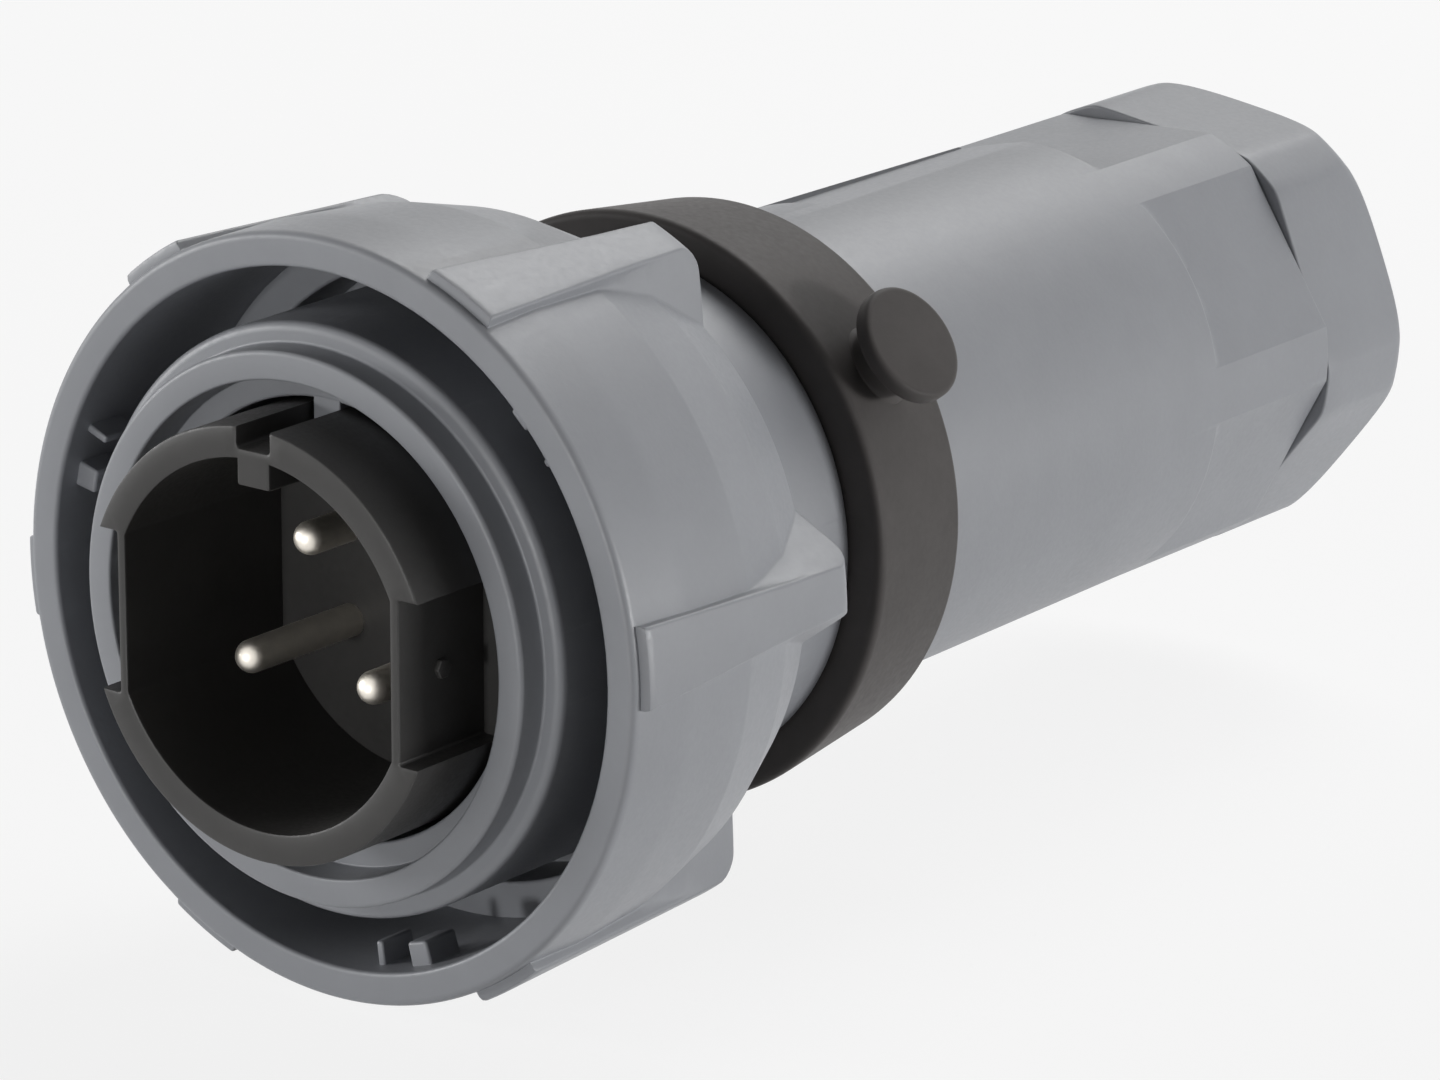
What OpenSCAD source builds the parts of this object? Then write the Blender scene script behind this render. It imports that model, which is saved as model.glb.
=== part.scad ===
// Circular cable connector, pin half: a bayonet coupling ring turns on the nose of a moulded body,
// a keyed contact carrier sits in the nose, and a cable gland closes the other end.
// The axis runs along Y, the mating end looks to -Y, and +Z is up, on the side of the polarising key.
// The origin is on the axis, in the plane of the nose's shoulder. Angles run from +X towards +Z.

/* [Nose] */
// Width of the nose's shoulder outside the lip
nose_shoulder = 1; // [0.8:0.05:1.4]
// Length of the barrel behind its shoulder
nose_len = 11.5; // [11:0.1:12.5]
// Rounding of the barrel's front edge
nose_edge = 0.5; // [0.2:0.1:0.7]
// Wall of the lip in front of the shoulder
lip_wall = 1.4; // [1:0.05:1.8]
// Reach of the lip in front of the shoulder
lip_len = 1.6; // [1.2:0.1:2.2]
// Width of the ledge at the bottom of the lip's bore
lip_ledge = 1.2; // [0.8:0.05:1.6]
// Depth of the lip's bore, down to its ledge
lip_bore_depth = 2.1; // [1.7:0.1:2.6]
// Width of the key rib that aligns the carrier
key_w = 1.6; // [1.2:0.1:1.8]

/* [Body] */
// Step from the barrel down to the neck that carries the coupling ring
neck_step = 1.9; // [1.6:0.05:2.1]
// Length of neck in view between the coupling ring and the strap ring
neck_show = 6.8; // [6:0.1:8]
// Depth of the strap ring's groove below the neck
strap_groove = 0.5; // [0.4:0.05:0.8]
// Drop from the neck to the grip behind the strap ring
grip_drop = 0.1; // [0:0.05:0.25]
// Taper of the grip towards the hexagon
grip_taper = 0.25; // [0.1:0.05:0.4]
// Length of the grip
grip_len = 25.1; // [22:0.1:30]
// Length of the hexagon
hex_len = 10.3; // [8:0.1:13]
// Depth of the hexagon's flats
hex_depth = 0.95; // [0.7:0.05:1.2]
// Angle of one of the hexagon's corners
hex_angle = 2.2; // [-20:0.1:20]
// Depth of the recessed flat below the hexagon's end of the grip
recess_depth = 0.25; // [0.15:0.05:0.5]
// Length of the recessed flat
recess_len = 19; // [10:0.5:22]
// Start of the recessed flat behind the strap ring
recess_start = 7.6; // [2:0.1:9]
// Angle of the recessed flat
recess_angle = 104; // [60:1:140]
// Distance from the middle of the recessed flat to the wall along its far side
recess_side = 1.8; // [1:0.1:2.2]

/* [Coupling ring] */
// Wall of the rim at the mating end
rim_wall = 1.65; // [1.3:0.05:2.2]
// Rounding of the rim's front edge
ring_edge = 0.4; // [0.1:0.1:0.6]
// Width of the space between the nose and the ring's bore
socket_gap = 2.55; // [2.2:0.05:3]
// Depth of the bore
ring_bore_depth = 9.5; // [8:0.1:10.5]
// Length of the straight rim
rim_len = 4; // [2:0.1:6]
// Drop of the rim's slow taper
waist_drop = 0.4; // [0.2:0.05:0.7]
// Drop of the steeper taper in front of the rear cone
cone_drop = 0.95; // [0.7:0.05:1.2]
// Drop of the rear cone
rear_drop = 1.65; // [1.3:0.05:1.9]
// Length of the rear cone
cone_len = 3.6; // [3:0.1:4.2]
// Length of the steeper taper in front of the rear cone
waist_len = 3.9; // [3:0.1:4.5]
// Length of the ring behind its retaining clip
ring_tail = 0.5; // [0.3:0.1:1]
// Thickness of the inner flange
flange_t = 1.5; // [1.2:0.1:2]
// Number of finger ribs
rib_count = 6; // [3:1:8]
// Angle of one rib
rib_angle = 4.4; // [-30:0.1:30]
// Height of the ribs above the rim
rib_h = 0.55; // [0.4:0.05:0.9]
// Fall of a rib's crest towards its rear
rib_fall = 0.5; // [0.2:0.05:0.8]
// Width of a rib's crest at its front
rib_front_w = 3.9; // [3:0.1:5]
// Width of a rib's crest at its rear
rib_rear_w = 2.2; // [1.6:0.1:2.8]
// Lean of a rib's flanks at its rear, in degrees
rib_lean = 35; // [20:1:40]
// Set-back of the ribs' front step from the rim
rib_set_back = 0.45; // [0.3:0.05:1]
// Rounding of the crest's rear end
rib_round = 1.2; // [0.6:0.1:1.6]
// Twist of the ring between open and locked, in degrees
ring_travel = 30; // [20:1:45]

/* [Bayonet lugs] */
// Angle of one lug
lug_angle = 46.5; // [30:0.5:60]
// Width of a lug, in degrees
lug_w = 4.3; // [3:0.1:6]
// Height of a lug
lug_h = 1.15; // [0.8:0.05:1.6]
// Length of a lug
lug_len = 2.2; // [1.5:0.1:4]
// Set-back of a lug from the rim
lug_set_back = 1.2; // [0.8:0.1:3]
// Angle from a lug to the thin detent rib beside it
detent_angle = 8.5; // [6:0.1:12]
// Width of the thin detent rib, in degrees
detent_w = 1.4; // [1:0.1:2]

/* [Strap ring] */
// Wall at its front
strap_wall = 2.9; // [2.4:0.05:3.4]
// Taper towards its rear
strap_taper = 0.85; // [0.5:0.05:1.2]
// Length along the axis
strap_len = 7.5; // [6.5:0.1:9]
// Chamfer of its front edge
strap_chamfer = 0.35; // [0.1:0.05:0.6]
// Radius of the stud's head
stud_head_r = 2.95; // [2.5:0.05:3.2]
// Thickness of the stud's head
stud_head_t = 0.85; // [0.6:0.05:1.2]
// Chamfer of the stud's head
stud_chamfer = 0.25; // [0.1:0.05:0.4]
// Radius of the stud's stem
stud_stem_r = 1.75; // [1.4:0.05:2]
// Length of the stem in view
stud_stem_len = 1.35; // [1:0.05:1.8]
// Angle of the stud
stud_angle = 36; // [0:1:90]

/* [Contact carrier] */
// Wall of the shroud
shroud_wall = 1.52; // [1.3:0.02:1.8]
// Bore radius of the shroud
shroud_bore_r = 8.85; // [8.5:0.05:9.5]
// Chamfer of the shroud's front edge
shroud_chamfer = 0.25; // [0.1:0.05:0.4]
// Reach of the shroud in front of the lip
shroud_reach = 3; // [2:0.1:4]
// Depth of the contact well
well_depth = 10.9; // [9:0.1:11.2]
// Depth of the two flats inside the shroud
flat_inset = 0.85; // [0.6:0.05:1.1]
// Thickness of the flats' walls
flat_wall = 0.5; // [0.4:0.05:0.8]
// Half the height of the side pockets
pocket_half = 3.9; // [3.4:0.1:4.2]
// Depth of the side pockets
pocket_depth = 6; // [4:0.1:8]
// Width of the key slot and of the tab inside it
key_slot_w = 1.96; // [1.9:0.02:2.4]
// Wall left between the key slot and the shroud's bore
key_web = 0.45; // [0.3:0.05:0.7]
// Height of the tab on the bore, below the key slot
key_tab_h = 1.3; // [1:0.05:1.8]
// Thickness of the contact block between the well's floor and the carrier's seat
block_t = 1.4; // [1.2:0.1:2]
// Drop from the shroud's bore to the carrier's sealed shank
shank_drop = 0.15; // [0.1:0.01:0.25]
// Length of the sealed shank
shank_len = 4.3; // [4:0.1:5]
// Step from the shank down to the threaded tail
tail_step = 0.8; // [0.6:0.05:1]
// Length of the tail behind the body's inner wall
tail_len = 5; // [4.8:0.1:7]
// Thickness of the body's inner wall
inner_wall_t = 3; // [2.4:0.1:4]
// Section of the carrier's seal
oring_d = 1.25; // [1:0.05:1.5]
// Thickness of the carrier washer
carrier_washer_t = 0.6; // [0.4:0.1:1]
// Thickness of the carrier nut
carrier_nut_t = 3.6; // [3:0.1:4]
// Wall of the carrier nut and width of its washer
carrier_nut_wall = 1.15; // [0.9:0.05:1.4]

/* [Contacts] */
// Radius of the pins
pin_r = 0.8; // [0.6:0.05:1]
// Radius of the circle that the pins stand on
pin_circle_r = 4.3; // [4:0.05:4.4]
// Angle of the first pin
pin_angle = 90; // [0:1:90]
// Set-back of the pins' tips from the shroud's front
pin_set_back = 3.1; // [2:0.1:5]
// Radius of the contacts' rear barrels
barrel_r = 1.9; // [1.7:0.05:2]
// Length of the barrels behind the tail
barrel_show = 6; // [5:0.1:8]
// Bore radius for the wire
wire_r = 1; // [0.8:0.05:1.1]
// Depth of the wire's bore
wire_depth = 5; // [4:0.1:6]
// Radius of a terminal screw's thread
screw_r = 0.7; // [0.5:0.05:0.8]
// Radius of a terminal screw's head
screw_head_r = 1.2; // [1:0.05:1.4]
// Height of a terminal screw's head
screw_head_t = 0.9; // [0.6:0.1:1.2]

/* [Cable gland] */
// Radius of the largest cable that passes
cable_r = 4.6; // [4:0.1:4.8]
// Depth of the nut's flats
nut_flat_depth = 1; // [0.7:0.05:1.2]
// Swell of the nut's rounded corners over the hexagon's
nut_swell = 0.05; // [0:0.05:0.2]
// Length of the nut
nut_len = 7.6; // [6.5:0.05:9]
// Rounding of the nut's rear edge
nut_round = 1.1; // [0.6:0.1:1.6]
// Thickness of the nut's rear wall
nut_wall = 1.9; // [1.4:0.1:2.2]
// Angle of one of the nut's corners
nut_angle = -8; // [-30:1:30]
// Wall of the threaded spigot inside the nut
spigot_wall = 1.5; // [1.2:0.05:1.6]
// Wall of the gland seal
seal_wall = 3.6; // [3:0.05:3.8]
// Length of the gland seal
seal_len = 8; // [6:0.1:9]
// Thickness of the slip washer
slip_t = 0.8; // [0.5:0.1:1.2]
// Thickness of the wall in front of the gland seal
gland_wall_t = 2; // [1.5:0.1:3]
// Margin of that wall's opening round the cable
port_margin = 1.9; // [1:0.1:2.4]
// Number of slits in the clamping cage
slit_count = 6; // [4:1:8]
// Width of a slit
slit_w = 1.2; // [0.8:0.1:1.6]
// Length of the cage's solid collar
cage_collar = 1.7; // [1.2:0.1:2.4]

/* [Fits] */
// Radial play of the coupling ring on the neck
ring_play = 0.08; // [0.04:0.01:0.1]
// Radial play of the strap ring in its groove
strap_play = 0.1; // [0.06:0.01:0.2]
// End play of the moving rings
end_play = 0.15; // [0.1:0.01:0.25]
// Play round the carrier's shroud
shroud_play = 0.23; // [0.15:0.01:0.3]
// Play between pieces that are fitted together
fit_play = 0.05; // [0.02:0.01:0.1]
// Free space round the nose barrel, behind the ring's bore
nose_clearance = 0.8; // [0.6:0.1:1]
// Free space between pieces that only pass each other
clearance = 0.3; // [0.2:0.05:0.4]

/* [Retaining pieces] */
// Height of the conical spring washer
spring_h = 1.4; // [1.2:0.1:2]
// Thickness of the spring washer's metal
spring_t = 0.35; // [0.25:0.05:0.5]
// Width of the spring washer
spring_w = 1.4; // [1:0.1:1.6]
// Thickness of the retaining clip
clip_t = 1.1; // [0.8:0.1:1.4]
// Height of the retaining clip above the neck
clip_h = 1.3; // [1:0.05:1.35]
// Depth of the clip's groove in the neck
clip_groove = 0.6; // [0.4:0.05:0.8]
// Open angle of the retaining clip
clip_gap = 50; // [30:1:80]
// Height of the twist stop above the neck
stop_h = 0.55; // [0.4:0.05:0.7]
// Width of the twist stop, in degrees
stop_w = 8; // [5:0.5:12]

/* [Hidden] */
$fn = 96;
// Length of the small cuts and overlaps that keep joined shapes from meeting in a plane
eps = 0.2;
// Angle of the twist stop, and its play at either end of the travel
stop_angle = 270;
stop_play = 0.35;
// Steps along a rounded profile corner
arc_steps = 4;
// Radii of the carrier and of the nose round it, from the contact well outwards
shroud_r = shroud_bore_r + shroud_wall;
well_flat = shroud_bore_r - flat_inset;
key_slot_z = shroud_bore_r + key_web;
key_tab_z = shroud_bore_r - key_tab_h;
shank_r = shroud_bore_r - shank_drop;
tail_r = shank_r - tail_step;
shell_bore_r = shroud_r + shroud_play;
lip_bore_r = shell_bore_r + lip_ledge;
lip_r = lip_bore_r + lip_wall;
nose_r = lip_r + nose_shoulder;
// Radii of the body behind the nose
neck_r = nose_r - neck_step;
strap_groove_r = neck_r - strap_groove;
grip_r = neck_r - grip_drop;
grip_end_r = grip_r - grip_taper;
hex_apothem = grip_end_r - hex_depth;
carrier_nut_bore = tail_r + fit_play;
carrier_nut_r = carrier_nut_bore + carrier_nut_wall;
chamber_r = carrier_nut_r + clearance;
// Radii of the coupling ring round the nose
ring_bore_r = nose_r + socket_gap;
ring_r = ring_bore_r + rim_wall;
rib_r = ring_r + rib_h;
rib_rear_r = rib_r - rib_fall;
waist_r = ring_r - waist_drop;
cone_r = waist_r - cone_drop;
rear_r = cone_r - rear_drop;
clip_r = neck_r + clip_h;
// Radii of the strap ring and of the cable gland
strap_bore_r = strap_groove_r + strap_play;
strap_r = strap_bore_r + strap_wall;
strap_rear_r = strap_r - strap_taper;
seal_bore_r = cable_r + fit_play;
gland_r = seal_bore_r + seal_wall;
pocket_r = gland_r + fit_play;
spigot_r = pocket_r + spigot_wall;
gland_port_r = cable_r + port_margin;
nut_r = grip_end_r + nut_swell;
nut_apothem = nut_r - nut_flat_depth;
// Rear of the nose barrel, seat of the coupling ring's flange, and the retaining clip's groove
flange_y = nose_len + spring_h + 2 * end_play;
flange_end = flange_y + flange_t;
clip_y = flange_end + end_play;
clip_end = clip_y + clip_t + fit_play;
ring_end = clip_end + ring_tail;
// Stations along the coupling ring's outer form
cone_y = ring_end - cone_len;
waist_y = cone_y - waist_len;
// Bores of the coupling ring
flange_bore = neck_r + ring_play;
nose_clear_r = nose_r + nose_clearance;
clip_clear_r = clip_r + clearance;
// Strap ring's groove, grip, hexagon and gland along the axis
strap_y = ring_end + neck_show;
strap_end = strap_y + strap_len;
grip_y = strap_end + end_play;
hex_y = grip_y + grip_len;
body_end = hex_y + hex_len;
nut_y = body_end + fit_play;
nut_end = nut_y + nut_len;
nut_floor = nut_end - nut_wall;
spigot_end = nut_floor - clearance;
gland_y = hex_y;
slip_y = gland_y + seal_len;
cage_y = slip_y + slip_t;
// Carrier along the axis
lip_y = -lip_len;
ledge_y = lip_y + lip_bore_depth;
shroud_y = lip_y - shroud_reach;
well_floor = shroud_y + well_depth;
seat_y = well_floor + block_t;
wall_y = seat_y + shank_len;
wall_end = wall_y + inner_wall_t;
tail_end = wall_end + tail_len;
shank_bore_r = shank_r + fit_play;
tail_bore_r = tail_r + fit_play;
oring_y = seat_y + shank_len / 2;
oring_groove_r = shank_bore_r - oring_d;
oring_groove_w = 1.2 * oring_d;
carrier_nut_y = wall_end + carrier_washer_t;
// Number of contacts, and their stations along the axis
pin_count = 3;
pin_tip = shroud_y + pin_set_back;
barrel_y = seat_y;
barrel_end = tail_end + barrel_show;
screw_y = barrel_end - wire_depth / 2;

// Points of an arc round [cx, cy], from angle a0 to a1
function arc(cx, cy, r, a0, a1) = [
    for (i = [0 : arc_steps])
        let (a = a0 + (a1 - a0) * i / arc_steps)
            [cx + r * cos(a), cy + r * sin(a)]
];

// Turns its children round the axis, from +X towards +Z
module turn(a) {
    rotate([0, -a, 0]) children();
}

// A solid of revolution whose profile points are [radius, position along the axis]
module turned(points) {
    rotate([-90, 0, 0]) rotate_extrude() polygon(points);
}

// A plain tube between two stations
module tube(r0, r1, y0, y1) {
    turned([[r0, y0], [r1, y0], [r1, y1], [r0, y1]]);
}

// A round bar between two stations
module bar(r, y0, y1) {
    translate([0, y0, 0]) rotate([-90, 0, 0]) cylinder(r = r, h = y1 - y0);
}

// Part of a tube between two angles
module sector(r0, r1, y0, y1, a0, a1) {
    rotate([-90, 0, 0]) rotate([0, 0, -a1]) rotate_extrude(angle = a1 - a0)
        polygon([[r0, y0], [r1, y0], [r1, y1], [r0, y1]]);
}

// A hexagonal bar with one corner at angle a
module hex_bar(apothem, y0, y1, a) {
    turn(a) translate([0, y0, 0]) rotate([-90, 0, 0])
        cylinder(r = apothem / cos(30), h = y1 - y0, $fn = 6);
}

// Places its children at each pin
module at_pin(i) {
    turn(pin_angle + 360 * i / pin_count) translate([pin_circle_r, 0, 0]) children();
}

// Outer form of the body, from the lip to the end of the threaded spigot
module body_outside() {
    turned(concat(
        [[0, lip_y], [lip_r, lip_y], [lip_r, 0]],
        arc(nose_r - nose_edge, nose_edge, nose_edge, -90, 0),
        [
            [nose_r, nose_len], [neck_r, nose_len],
            [neck_r, strap_y - end_play], [strap_groove_r, strap_y - end_play],
            [strap_groove_r, grip_y], [grip_r, grip_y],
            [grip_end_r, hex_y], [grip_end_r, body_end],
            [spigot_r, body_end], [spigot_r, spigot_end], [0, spigot_end]
        ]
    ));
}

// Bores of the body, from the lip to the gland's pocket
module body_bores() {
    turned([
        [0, lip_y - eps], [lip_bore_r, lip_y - eps], [lip_bore_r, ledge_y],
        [shell_bore_r, ledge_y], [shell_bore_r, seat_y],
        [shank_bore_r, seat_y], [shank_bore_r, wall_y],
        [tail_bore_r, wall_y], [tail_bore_r, wall_end],
        [chamber_r, wall_end], [chamber_r, gland_y - gland_wall_t],
        [gland_port_r, gland_y - gland_wall_t], [gland_port_r, gland_y],
        [pocket_r, gland_y], [pocket_r, spigot_end + eps], [0, spigot_end + eps]
    ]);
}

// What the hexagon's flats take off the round bar
module hex_cut() {
    difference() {
        bar(grip_r, hex_y, body_end + eps);
        hex_bar(hex_apothem, hex_y - eps, body_end + 2 * eps, hex_angle);
    }
}

// Key rib behind the ledge, at the top, which runs in the carrier's key slot
module key_rib() {
    key_low = key_slot_z + fit_play;
    translate([-key_w / 2, ledge_y, key_low])
        cube([key_w, seat_y - ledge_y, lip_bore_r + eps - key_low]);
}

module body_shell() {
    color("#8c8d92")
    difference() {
        union() {
            difference() {
                body_outside();
                body_bores();
                hex_cut();
            }
            intersection() {
                key_rib();
                bar(lip_bore_r + eps, lip_y, seat_y);
            }
            sector(
                neck_r - eps, neck_r + stop_h, flange_y, flange_end,
                stop_angle - stop_w / 2, stop_angle + stop_w / 2
            );
        }
        tube(neck_r - clip_groove, clip_r, clip_y, clip_end);
        turn(recess_angle)
            translate([grip_end_r - recess_depth, grip_y + recess_start, -grip_r])
                cube([grip_r, recess_len, grip_r + recess_side]);
    }
}

// One finger rib at the top: its crest falls and narrows to the rear, where its flanks lean outwards
module rib() {
    inside_r = (ring_bore_r + waist_r) / 2;
    crest_end = ring_end - rib_round;
    top = rib_rear_w / 2;
    foot = top + (rib_rear_r - clip_clear_r) * tan(rib_lean);
    intersection() {
        turned(concat(
            [[inside_r, rib_set_back], [rib_r, rib_set_back]],
            arc(rib_rear_r - rib_round, crest_end, rib_round, 0, 90),
            [[clip_clear_r + eps, ring_end], [nose_clear_r + eps, cone_y], [inside_r, waist_y]]
        ));
        union() {
            linear_extrude(height = rib_r + eps)
                polygon([
                    [-rib_front_w / 2, rib_set_back], [rib_front_w / 2, rib_set_back],
                    [top, crest_end], [top, ring_end], [-top, ring_end], [-top, crest_end]
                ]);
            translate([0, ring_end, 0]) rotate([90, 0, 0])
                linear_extrude(height = ring_end - rib_set_back)
                    polygon([
                        [-foot, clip_clear_r], [foot, clip_clear_r],
                        [top, rib_rear_r], [-top, rib_rear_r]
                    ]);
        }
    }
}

module coupling_ring() {
    color("#8c8d92")
    difference() {
        union() {
            turned(concat(
                [[ring_bore_r, 0]],
                arc(ring_r - ring_edge, ring_edge, ring_edge, -90, 0),
                [
                    [ring_r, rim_len], [waist_r, waist_y], [cone_r, cone_y],
                    [rear_r, ring_end], [clip_clear_r, ring_end],
                    [clip_clear_r, flange_end], [flange_bore, flange_end], [flange_bore, flange_y],
                    [nose_clear_r, flange_y], [nose_clear_r, ring_bore_depth], [ring_bore_r, ring_bore_depth]
                ]
            ));
            for (i = [0 : rib_count - 1])
                turn(rib_angle - 90 + 360 * i / rib_count) rib();
            for (i = [0 : 2])
                turn(lug_angle + 120 * i) {
                    bayonet_rib(-lug_w / 2, lug_w / 2);
                    bayonet_rib(-detent_angle - detent_w / 2, -detent_angle + detent_w / 2);
                }
        }
        sector(
            flange_bore - eps, neck_r + stop_h + clearance, flange_y - eps, flange_end + eps,
            stop_angle - ring_travel - stop_w / 2 - stop_play, stop_angle + stop_w / 2 + stop_play
        );
    }
}

// A rib in the coupling ring's bore between two angles
module bayonet_rib(a0, a1) {
    sector(ring_bore_r - lug_h, ring_bore_r + eps, lug_set_back, lug_set_back + lug_len, a0, a1);
}

// Conical washer, its inner edge on the nose barrel and its outer edge towards the ring's flange
module ring_spring() {
    inner = neck_r + clearance;
    near = nose_len;
    far = near + spring_h;
    color("#b9bbbd")
    turned([
        [inner, near], [inner + spring_w, far - spring_t],
        [inner + spring_w, far], [inner, near + spring_t]
    ]);
}

module ring_clip() {
    half = 180 - clip_gap / 2;
    color("#3c3d3f")
    sector(
        neck_r - clip_groove + fit_play, clip_r - fit_play, clip_y + fit_play / 2, clip_end - fit_play / 2,
        90 - half, 90 + half
    );
}

module strap_ring() {
    stud_y = (strap_y + strap_end) / 2;
    head_r = strap_r + stud_stem_len;
    color("#555351") {
        turned([
            [strap_bore_r, strap_y], [strap_r - strap_chamfer, strap_y], [strap_r, strap_y + strap_chamfer],
            [strap_rear_r, strap_end], [strap_bore_r, strap_end]
        ]);
        turn(stud_angle) translate([0, stud_y, 0]) rotate([0, 90, 0]) {
            translate([0, 0, strap_bore_r + eps]) cylinder(r = stud_stem_r, h = head_r - strap_bore_r);
            translate([0, 0, head_r]) cylinder(r = stud_head_r, h = stud_head_t - stud_chamfer);
            translate([0, 0, head_r + stud_head_t - stud_chamfer])
                cylinder(r1 = stud_head_r, r2 = stud_head_r - stud_chamfer, h = stud_chamfer);
        }
    }
}

// Hollow of the contact well: a round bore cut off by a flat on either side
module contact_well() {
    intersection() {
        bar(shroud_bore_r, shroud_y - eps, well_floor);
        translate([-well_flat, shroud_y - eps, -shroud_bore_r])
            cube([2 * well_flat, well_depth + eps, 2 * shroud_bore_r]);
    }
}

// Pocket outside one of the well's flats
module side_pocket() {
    translate([well_flat + flat_wall, shroud_y - eps, -pocket_half])
        cube([shroud_r, pocket_depth + eps, 2 * pocket_half]);
}

// Small raised hexagon on the wall of the pocket
module pocket_mark() {
    translate([well_flat + flat_wall / 2, shroud_y + pocket_depth / 2, 0])
        rotate([0, 90, 0]) cylinder(r = flat_wall, h = flat_wall, $fn = 6);
}

module contact_carrier() {
    color("#232322")
    difference() {
        union() {
            difference() {
                turned([
                    [0, shroud_y], [shroud_r - shroud_chamfer, shroud_y],
                    [shroud_r, shroud_y + shroud_chamfer], [shroud_r, seat_y],
                    [shank_r, seat_y], [shank_r, wall_y],
                    [tail_r, wall_y], [tail_r, tail_end], [0, tail_end]
                ]);
                contact_well();
                side_pocket();
                turn(180) side_pocket();
                translate([-key_slot_w / 2, shroud_y - eps, key_slot_z])
                    cube([key_slot_w, seat_y - shroud_y + 2 * eps, shroud_r]);
                tube(oring_groove_r, shroud_r, oring_y - oring_groove_w / 2, oring_y + oring_groove_w / 2);
            }
            translate([-key_slot_w / 2, shroud_y, key_tab_z])
                cube([key_slot_w, well_depth + eps, key_tab_h + key_web / 2]);
            pocket_mark();
        }
        for (i = [0 : pin_count - 1])
            at_pin(i) {
                bar(pin_r + fit_play / 2, well_floor - eps, barrel_y + eps);
                bar(barrel_r + fit_play / 2, barrel_y, tail_end + eps);
            }
    }
}

module carrier_oring() {
    color("#2a2a2a")
    rotate([-90, 0, 0]) rotate_extrude()
        translate([oring_groove_r + oring_d / 2, oring_y]) circle(d = oring_d - fit_play, $fn = 48);
}

module carrier_washer() {
    color("#b9bbbd")
    tube(carrier_nut_bore, carrier_nut_r, wall_end, carrier_nut_y);
}

// Ring nut with spanner slots in its rear face
module carrier_nut() {
    nut_back = carrier_nut_y + carrier_nut_t;
    color("#7b7c80")
    difference() {
        tube(carrier_nut_bore, carrier_nut_r, carrier_nut_y, nut_back);
        for (a = [0 : 90 : 270])
            turn(a) translate([tail_r, nut_back - carrier_nut_t / 3, -screw_head_r])
                cube([carrier_nut_r, carrier_nut_t, 2 * screw_head_r]);
    }
}

// Pin contact: domed pin in front, barrel with a wire bore and a screw hole behind
module pin_contact(i) {
    color("#d9d4ca")
    at_pin(i)
        difference() {
            union() {
                translate([0, pin_tip + pin_r, 0]) sphere(r = pin_r);
                bar(pin_r, pin_tip + pin_r, barrel_y + eps);
                bar(barrel_r, barrel_y, barrel_end);
            }
            bar(wire_r, barrel_end - wire_depth, barrel_end + eps);
            translate([0, screw_y, 0]) rotate([0, 90, 0]) cylinder(r = screw_r + fit_play, h = 2 * barrel_r);
        }
}

// Terminal screw with a slotted head
module terminal_screw(i) {
    head_x = barrel_r + fit_play;
    color("#b9bbbd")
    at_pin(i)
        translate([0, screw_y, 0])
            difference() {
                rotate([0, 90, 0]) {
                    translate([0, 0, wire_r / 2]) cylinder(r = screw_r, h = head_x);
                    translate([0, 0, head_x]) cylinder(r = screw_head_r, h = screw_head_t);
                }
                translate([head_x + screw_head_t / 2, -screw_head_r, -screw_r / 4])
                    cube([screw_head_t, 2 * screw_head_r, screw_r / 2]);
            }
}

module gland_seal() {
    color("#2f2f30")
    tube(seal_bore_r, gland_r, gland_y, slip_y);
}

module gland_washer() {
    color("#b9bbbd")
    tube(cable_r + clearance, gland_r, slip_y, cage_y);
}

// Clamping cage: a collar with slit fingers that the nut squeezes
module gland_cage() {
    color("#4a4b4d")
    difference() {
        tube(cable_r + clearance, gland_r, cage_y, nut_floor);
        for (i = [0 : slit_count - 1])
            turn(360 * i / slit_count)
                translate([0, cage_y + cage_collar, -slit_w / 2])
                    cube([pocket_r, nut_floor - cage_y, slit_w]);
    }
}

module gland_nut() {
    color("#8c8d92")
    difference() {
        intersection() {
            turned(concat(
                [[0, nut_y], [nut_r, nut_y]],
                arc(nut_r - nut_round, nut_end - nut_round, nut_round, 0, 90),
                [[0, nut_end]]
            ));
            hex_bar(nut_apothem, nut_y - eps, nut_end + eps, nut_angle);
        }
        bar(spigot_r + fit_play, nut_y - eps, nut_floor);
        bar(cable_r, nut_floor - eps, nut_end + eps);
    }
}

body_shell();
coupling_ring();
ring_spring();
ring_clip();
strap_ring();
contact_carrier();
carrier_oring();
carrier_washer();
carrier_nut();
pin_contact(0);  // pin_contact_1
pin_contact(1);  // pin_contact_2
pin_contact(2);  // pin_contact_3
terminal_screw(0);  // terminal_screw_1
terminal_screw(1);  // terminal_screw_2
terminal_screw(2);  // terminal_screw_3
gland_seal();
gland_washer();
gland_cage();
gland_nut();
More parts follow.
